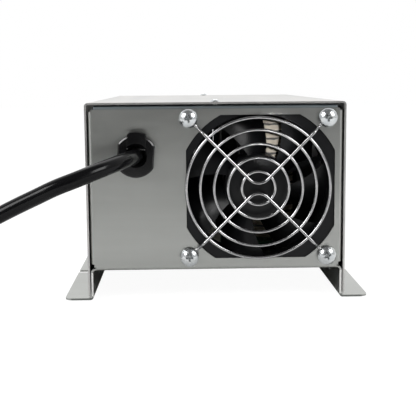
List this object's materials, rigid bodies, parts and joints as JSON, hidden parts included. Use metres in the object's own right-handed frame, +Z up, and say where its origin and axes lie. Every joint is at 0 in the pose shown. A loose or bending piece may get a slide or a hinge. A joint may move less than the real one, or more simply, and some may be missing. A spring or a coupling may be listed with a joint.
{
  "type": "power converter charger",
  "caption": "Power converter and battery charger in a folded sheet case with a guarded cooling fan, a mains cord and slotted mounting feet.",
  "frame": {"origin": "on the surface that the feet stand on, in the middle of the case's width, mid-way between the finger guard at the front and the ends of the output lugs at the rear", "axes": "+Y runs from the front panel with the fan to the rear panel, along the case's longest side; +Z is up; +X is to the right of someone who faces the front panel"},
  "size_m": [0.3298, 0.3303, 0.1038],
  "materials": {
    "case_metal": "plain rolled sheet, satin",
    "cover_metal": "plain rolled sheet, satin",
    "zinc_steel": "bright zinc plate",
    "guard_chrome": "bright chrome plate",
    "fan_plastic": "moulded, slight gloss",
    "shaft_steel": "ground",
    "magnet": "bonded magnet, matte",
    "bearing_bronze": "sintered bronze",
    "core_steel": "laminated",
    "copper": "enamelled copper, satin",
    "board_green": "solder mask",
    "cord_black": "soft sheath, satin",
    "moulding_black": "moulded, satin",
    "brass_pins": "bright",
    "ferrite": "ferrite, matte",
    "winding_tape": "taped winding",
    "sink_metal": "extruded",
    "capacitor_sleeve": "shrunk sleeve",
    "yellow_box": "boxed film capacitor",
    "fuse_glass": "clear",
    "green_plastic": "translucent moulding",
    "lead_sleeve": "insulated wire",
    "green_wire": "insulated wire",
    "ivory_plastic": "moulded nylon",
    "lug_metal": "tin-plated block",
    "tie_strap": "nylon strap"
  },
  "bodies": {
    "case": {"chassis": "case_metal", "cover": "cover_metal", "cover_screws": "zinc_steel", "fan_frame": "fan_plastic", "fan_bearing": "bearing_bronze", "fan_stator": "core_steel", "fan_coils": "copper", "fan_board": "board_green", "finger_guard": "guard_chrome", "fan_screws": "zinc_steel", "fan_nuts": "zinc_steel", "bushing_body": "moulding_black", "bushing_wedge": "moulding_black", "power_cord": "cord_black", "cord_coil": "cord_black", "coil_tie": "tie_strap", "plug_body": "moulding_black", "plug_blades": "brass_pins", "plug_ground_pin": "brass_pins", "circuit_board": "board_green", "standoffs": "zinc_steel", "board_screws": "zinc_steel", "heatsink_left": "sink_metal", "heatsink_right": "sink_metal", "power_transistors": "moulding_black", "transistor_screws": "zinc_steel", "transformer_core": "ferrite", "transformer_winding": "winding_tape", "bulk_capacitors": "capacitor_sleeve", "output_capacitors": "capacitor_sleeve", "output_choke": "yellow_box", "choke_winding": "copper", "filter_core": "ferrite", "filter_coils": "copper", "filter_capacitor": "yellow_box", "mains_fuse": "fuse_glass", "fuse_clips": "zinc_steel", "control_board": "board_green", "fan_socket": "ivory_plastic", "mains_leads": "lead_sleeve", "ground_lead": "green_wire", "fan_leads": "lead_sleeve", "bus_bars": "copper", "terminal_block": "moulding_black", "output_lugs": "lug_metal", "lug_set_screws": "zinc_steel", "lug_bolts": "zinc_steel", "fuse_holder": "moulding_black", "blade_fuses": "green_plastic", "ground_lug": "lug_metal", "ground_lug_screws": "zinc_steel"},
    "rotor": {"fan_rotor": "fan_plastic", "fan_magnet": "magnet", "fan_shaft": "shaft_steel"}
  },
  "joints": [
    {"name": "fan_spin", "type": "hinge", "parent": "case", "child": "rotor", "pos_m": [0.0216, -0.13, 0.0582], "axis": [0, 1, 0], "continuous": true}
  ]
}
